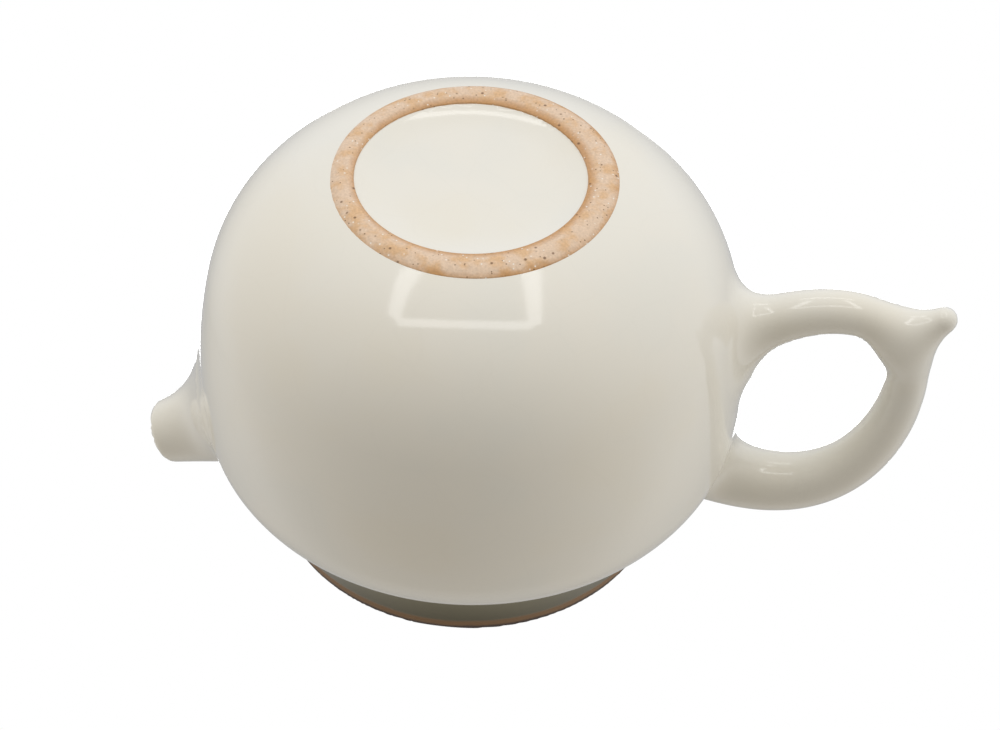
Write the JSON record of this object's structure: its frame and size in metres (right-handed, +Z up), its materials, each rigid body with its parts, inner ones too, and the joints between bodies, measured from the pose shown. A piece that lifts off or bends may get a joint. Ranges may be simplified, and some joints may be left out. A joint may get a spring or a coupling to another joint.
{
  "type": "ceramic teapot",
  "caption": "Round glazed ceramic teapot on a bare foot ring, with a short wide neck, flared spout, ear-shaped handle with a spur, strainer and a loose lift-off lid.",
  "frame": {"origin": "middle of the foot ring's standing face, on the pot's axis", "axes": "+Z up along the pot's axis, +X towards the spout, handle along -X"},
  "size_m": [0.1342, 0.09, 0.0915],
  "materials": {
    "glaze": "glossy off-white glaze with faint crackle",
    "biscuit": "bare speckled stoneware, matt"
  },
  "bodies": {
    "pot": {"pot_body": "glaze", "pot_shoulder": "glaze", "foot_ring": "biscuit", "neck_collar": "glaze", "spout": "glaze", "strainer": "glaze", "handle": "glaze", "handle_spur": "glaze"},
    "lid": {"lid_cap": "glaze", "lid_flange": "glaze", "lid_knob": "glaze"}
  },
  "joints": [
    {"name": "lid_lift", "type": "slide", "parent": "pot", "child": "lid", "axis": [0, 0, 1], "range_m": [0, 0.025]}
  ]
}
